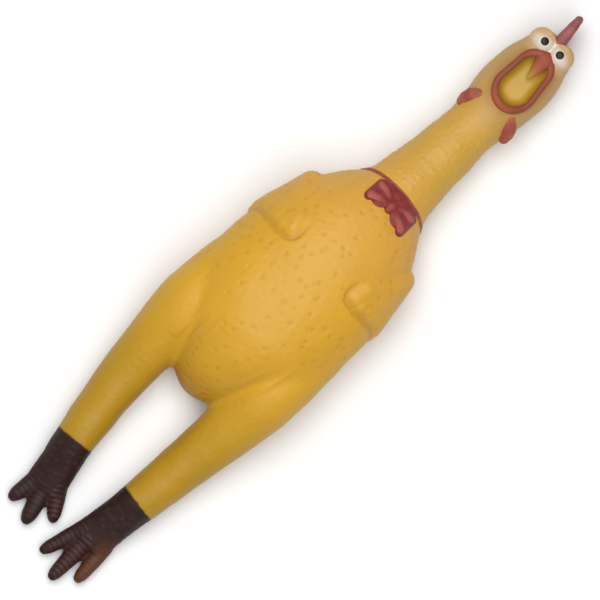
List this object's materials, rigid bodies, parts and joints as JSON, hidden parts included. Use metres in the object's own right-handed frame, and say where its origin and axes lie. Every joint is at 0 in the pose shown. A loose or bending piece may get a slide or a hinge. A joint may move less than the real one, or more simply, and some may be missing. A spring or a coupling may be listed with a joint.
{
  "type": "rubber chicken",
  "caption": "Squeaking soft vinyl chicken lying on its back, with an open mouth, a bow tie, folded wings and limp neck and legs that bend.",
  "frame": {"origin": "on the surface that the toy's back lies on, under the middle of its bounding box", "axes": "+Y from the feet to the comb, +Z from the back to the belly, +X to the chicken's own left"},
  "size_m": [0.0978, 0.3998, 0.0623],
  "materials": {
    "vinyl_skin": "soft moulded vinyl, ochre yellow with a pimpled skin, satin",
    "foot_paint": "soft vinyl sprayed dark brown, satin",
    "comb_paint": "soft vinyl sprayed dusky red, satin",
    "wattle_paint": "soft vinyl sprayed red-brown, satin",
    "lip_paint": "soft vinyl sprayed red-brown, satin",
    "beak_paint": "soft vinyl, red spray fading to ochre, satin",
    "eye_white": "soft vinyl sprayed white, satin",
    "pupil_black": "black paint, glossy",
    "collar_paint": "dark red paint, satin",
    "bow_paint": "crimson paint, satin",
    "squeaker_plastic": "moulded polyethylene, milky white",
    "reed_film": "stiff plastic film, clear"
  },
  "bodies": {
    "torso": {"torso_shell": "vinyl_skin", "left_wing": "vinyl_skin", "right_wing": "vinyl_skin", "collar": "collar_paint", "bow_tie": "bow_paint", "neck_base": "vinyl_skin", "left_hip_bend": "vinyl_skin", "right_hip_bend": "vinyl_skin"},
    "belly": {"belly_panel": "vinyl_skin"},
    "neck": {"neck": "vinyl_skin", "neck_bend": "vinyl_skin"},
    "head": {"head_shell": "vinyl_skin", "lips": "lip_paint", "upper_beak": "beak_paint", "left_eye": "eye_white", "right_eye": "eye_white", "left_pupil": "pupil_black", "right_pupil": "pupil_black", "comb": "comb_paint", "left_wattle": "wattle_paint", "right_wattle": "wattle_paint", "squeaker_drum": "squeaker_plastic", "squeaker_cap": "squeaker_plastic", "reed_block": "squeaker_plastic", "reed_wedge": "squeaker_plastic", "reed_root": "reed_film"},
    "reed": {"reed": "reed_film"},
    "left_upper_leg": {"left_upper_leg": "vinyl_skin", "left_knee_bend": "vinyl_skin"},
    "left_lower_leg": {"left_lower_leg": "vinyl_skin", "left_ankle_bend": "vinyl_skin"},
    "left_foot": {"left_foot": "foot_paint"},
    "right_upper_leg": {"right_upper_leg": "vinyl_skin", "right_knee_bend": "vinyl_skin"},
    "right_lower_leg": {"right_lower_leg": "vinyl_skin", "right_ankle_bend": "vinyl_skin"},
    "right_foot": {"right_foot": "foot_paint"}
  },
  "joints": [
    {"name": "belly_squeeze", "type": "slide", "parent": "torso", "child": "belly", "axis": [0, 0, -1], "range_m": [0, 0.012], "stiffness_N_per_m": 1500},
    {"name": "neck_nod", "type": "hinge", "parent": "torso", "child": "neck", "pos_m": [0.0007, 0.078, 0.0235], "axis": [1, 0, 0], "range_deg": [0, 40], "stiffness_Nm_per_rad": 0.4, "deforming": ["neck_base"]},
    {"name": "neck_sway", "type": "hinge", "parent": "neck", "child": "head", "pos_m": [0.0008, 0.097, 0.0218], "axis": [0, 0, 1], "range_deg": [-35, 35], "stiffness_Nm_per_rad": 0.3, "deforming": ["neck_bend"]},
    {"name": "reed_flutter", "type": "hinge", "parent": "head", "child": "reed", "pos_m": [0.0008, 0.1166, 0.0205], "axis": [1, 0, 0], "range_deg": [-2.5, 6], "stiffness_Nm_per_rad": 0.0003},
    {"name": "left_hip", "type": "hinge", "parent": "torso", "child": "left_upper_leg", "pos_m": [0.0299, -0.09, 0.0197], "axis": [-1, 0, 0], "range_deg": [0, 45], "stiffness_Nm_per_rad": 0.3, "deforming": ["left_hip_bend"]},
    {"name": "left_knee", "type": "hinge", "parent": "left_upper_leg", "child": "left_lower_leg", "pos_m": [0.0285, -0.112, 0.0157], "axis": [0, 0, 1], "range_deg": [0, 30], "stiffness_Nm_per_rad": 0.2, "deforming": ["left_knee_bend"]},
    {"name": "left_ankle", "type": "hinge", "parent": "left_lower_leg", "child": "left_foot", "pos_m": [0.0271, -0.1335, 0.0131], "axis": [-1, 0, 0], "range_deg": [0, 45], "stiffness_Nm_per_rad": 0.1, "deforming": ["left_ankle_bend"]},
    {"name": "right_hip", "type": "hinge", "parent": "torso", "child": "right_upper_leg", "pos_m": [-0.0281, -0.09, 0.0197], "axis": [-1, 0, 0], "range_deg": [0, 45], "stiffness_Nm_per_rad": 0.3, "deforming": ["right_hip_bend"]},
    {"name": "right_knee", "type": "hinge", "parent": "right_upper_leg", "child": "right_lower_leg", "pos_m": [-0.0253, -0.112, 0.0157], "axis": [0, 0, -1], "range_deg": [0, 30], "stiffness_Nm_per_rad": 0.2, "deforming": ["right_knee_bend"]},
    {"name": "right_ankle", "type": "hinge", "parent": "right_lower_leg", "child": "right_foot", "pos_m": [-0.0212, -0.1335, 0.0131], "axis": [-1, 0, 0], "range_deg": [0, 45], "stiffness_Nm_per_rad": 0.1, "deforming": ["right_ankle_bend"]}
  ]
}
